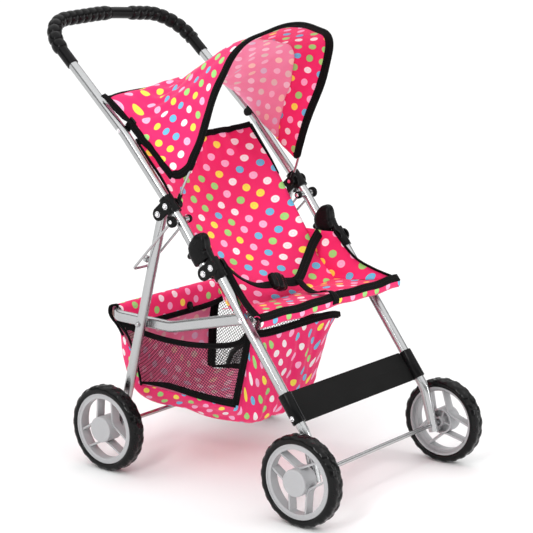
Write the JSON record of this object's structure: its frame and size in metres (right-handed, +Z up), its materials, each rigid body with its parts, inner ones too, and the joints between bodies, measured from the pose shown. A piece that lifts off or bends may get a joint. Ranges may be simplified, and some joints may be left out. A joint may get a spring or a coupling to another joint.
{
  "type": "doll stroller",
  "caption": "Folding doll stroller with a tubular frame, polka-dot fabric seat, hooped canopy, under-seat basket and spoked wheels.",
  "frame": {"origin": "on the floor, below the middle of the outline", "axes": "+Z up, -Y to the front, X across, with the left side at -X"},
  "size_m": [0.344, 0.5306, 0.5868],
  "materials": {
    "tube_silver": "satin silver tube",
    "steel_rod": "plated steel wire and rod",
    "rivet_steel": "bright plated rivet heads",
    "black_plastic": "moulded, semi-gloss",
    "grip_vinyl": "glossy ribbed vinyl sleeve",
    "dotted_fabric": "hot pink woven polyester with pastel dots",
    "black_binding": "black binding tape",
    "black_webbing": "black webbing",
    "mesh_net": "open black net",
    "tyre_black": "glossy moulded foam tyre",
    "wheel_grey": "light grey moulded plastic"
  },
  "bodies": {
    "front_frame": {"front_leg_left": "tube_silver", "front_leg_right": "tube_silver", "front_axle": "steel_rod", "footrest_panel": "black_plastic", "footrest_clamp_left": "black_plastic", "footrest_clamp_right": "black_plastic", "leg_fitting_left": "black_plastic", "leg_fitting_right": "black_plastic", "hinge_pins": "steel_rod", "frame_rivets": "rivet_steel", "seat_crossbar": "steel_rod", "seat_base": "dotted_fabric", "seat_front_hem": "dotted_fabric", "seat_side_left": "dotted_fabric", "seat_side_right": "dotted_fabric", "crotch_strap": "black_webbing", "lap_belt": "black_webbing", "harness_buckle": "black_plastic"},
    "handle": {"handle_tube": "tube_silver", "grip": "grip_vinyl", "upper_bracket_left": "black_plastic", "upper_bracket_right": "black_plastic", "bracket_pins": "steel_rod", "handle_rivets": "rivet_steel", "seat_hook_left": "black_plastic", "seat_hook_right": "black_plastic", "seat_back": "dotted_fabric"},
    "rear_legs": {"rear_leg_left": "tube_silver", "rear_leg_right": "tube_silver", "rear_axle": "steel_rod", "rear_leg_rivets": "black_plastic"},
    "basket_frame": {"basket_tube": "tube_silver", "basket_spacers": "black_plastic", "basket_bag": "dotted_fabric"},
    "canopy_hoop": {"canopy_wire": "steel_rod", "canopy_socket_left": "black_plastic", "canopy_socket_right": "black_plastic", "canopy_fabric": "dotted_fabric"},
    "bail_left": {"bail_left": "steel_rod"},
    "lock_left": {"lock_sleeve_left": "black_plastic"},
    "bail_right": {"bail_right": "steel_rod"},
    "lock_right": {"lock_sleeve_right": "black_plastic"},
    "wheel_front_left": {"tyre_front_left": "tyre_black", "rim_front_left": "wheel_grey", "hub_cap_front_left": "wheel_grey"},
    "wheel_front_right": {"tyre_front_right": "tyre_black", "rim_front_right": "wheel_grey", "hub_cap_front_right": "wheel_grey"},
    "wheel_rear_left": {"tyre_rear_left": "tyre_black", "rim_rear_left": "wheel_grey", "hub_cap_rear_left": "wheel_grey"},
    "wheel_rear_right": {"tyre_rear_right": "tyre_black", "rim_rear_right": "wheel_grey", "hub_cap_rear_right": "wheel_grey"}
  },
  "joints": [
    {"name": "handle_fold", "type": "hinge", "parent": "front_frame", "child": "handle", "pos_m": [0, -0.03858, 0.28103], "axis": [-1, 0, 0], "range_deg": [0, 120], "deforming": ["seat_back"]},
    {"name": "rear_leg_fold", "type": "hinge", "parent": "handle", "child": "rear_legs", "pos_m": [0, 0.03628, 0.3462], "axis": [1, 0, 0], "range_deg": [0, 71]},
    {"name": "basket_fold", "type": "hinge", "parent": "front_frame", "child": "basket_frame", "pos_m": [0, -0.09644, 0.2307], "axis": [-1, 0, 0], "range_deg": [0, 83], "deforming": ["basket_bag"]},
    {"name": "canopy_fold", "type": "hinge", "parent": "handle", "child": "canopy_hoop", "pos_m": [0, 0.02383, 0.35777], "axis": [-1, 0, 0], "range_deg": [0, 60], "deforming": ["canopy_fabric"]},
    {"name": "bail_swing_left", "type": "hinge", "parent": "handle", "child": "bail_left", "pos_m": [0, 0.00817, 0.34092], "axis": [1, 0, 0], "range_deg": [0, 71]},
    {"name": "lock_slide_left", "type": "slide", "parent": "handle", "child": "lock_left", "axis": [0, 0.6115, 0.7912], "range_m": [0, 0.022]},
    {"name": "bail_swing_right", "type": "hinge", "parent": "handle", "child": "bail_right", "pos_m": [0, 0.00817, 0.34092], "axis": [1, 0, 0], "range_deg": [0, 71]},
    {"name": "lock_slide_right", "type": "slide", "parent": "handle", "child": "lock_right", "axis": [0, 0.6115, 0.7912], "range_m": [0, 0.022]},
    {"name": "wheel_spin_front_left", "type": "hinge", "parent": "front_frame", "child": "wheel_front_left", "pos_m": [0, -0.20815, 0.057], "axis": [1, 0, 0], "continuous": true},
    {"name": "wheel_spin_front_right", "type": "hinge", "parent": "front_frame", "child": "wheel_front_right", "pos_m": [0, -0.20815, 0.057], "axis": [1, 0, 0], "continuous": true},
    {"name": "wheel_spin_rear_left", "type": "hinge", "parent": "rear_legs", "child": "wheel_rear_left", "pos_m": [0, 0.10855, 0.057], "axis": [1, 0, 0], "continuous": true},
    {"name": "wheel_spin_rear_right", "type": "hinge", "parent": "rear_legs", "child": "wheel_rear_right", "pos_m": [0, 0.10855, 0.057], "axis": [1, 0, 0], "continuous": true}
  ],
  "couplings": [
    {"joint": "rear_leg_fold", "follows": "handle_fold", "ratio": 0.591},
    {"joint": "basket_fold", "follows": "handle_fold", "ratio": 0.688},
    {"joint": "bail_swing_left", "follows": "handle_fold", "ratio": 0.591},
    {"joint": "bail_swing_right", "follows": "handle_fold", "ratio": 0.591}
  ]
}
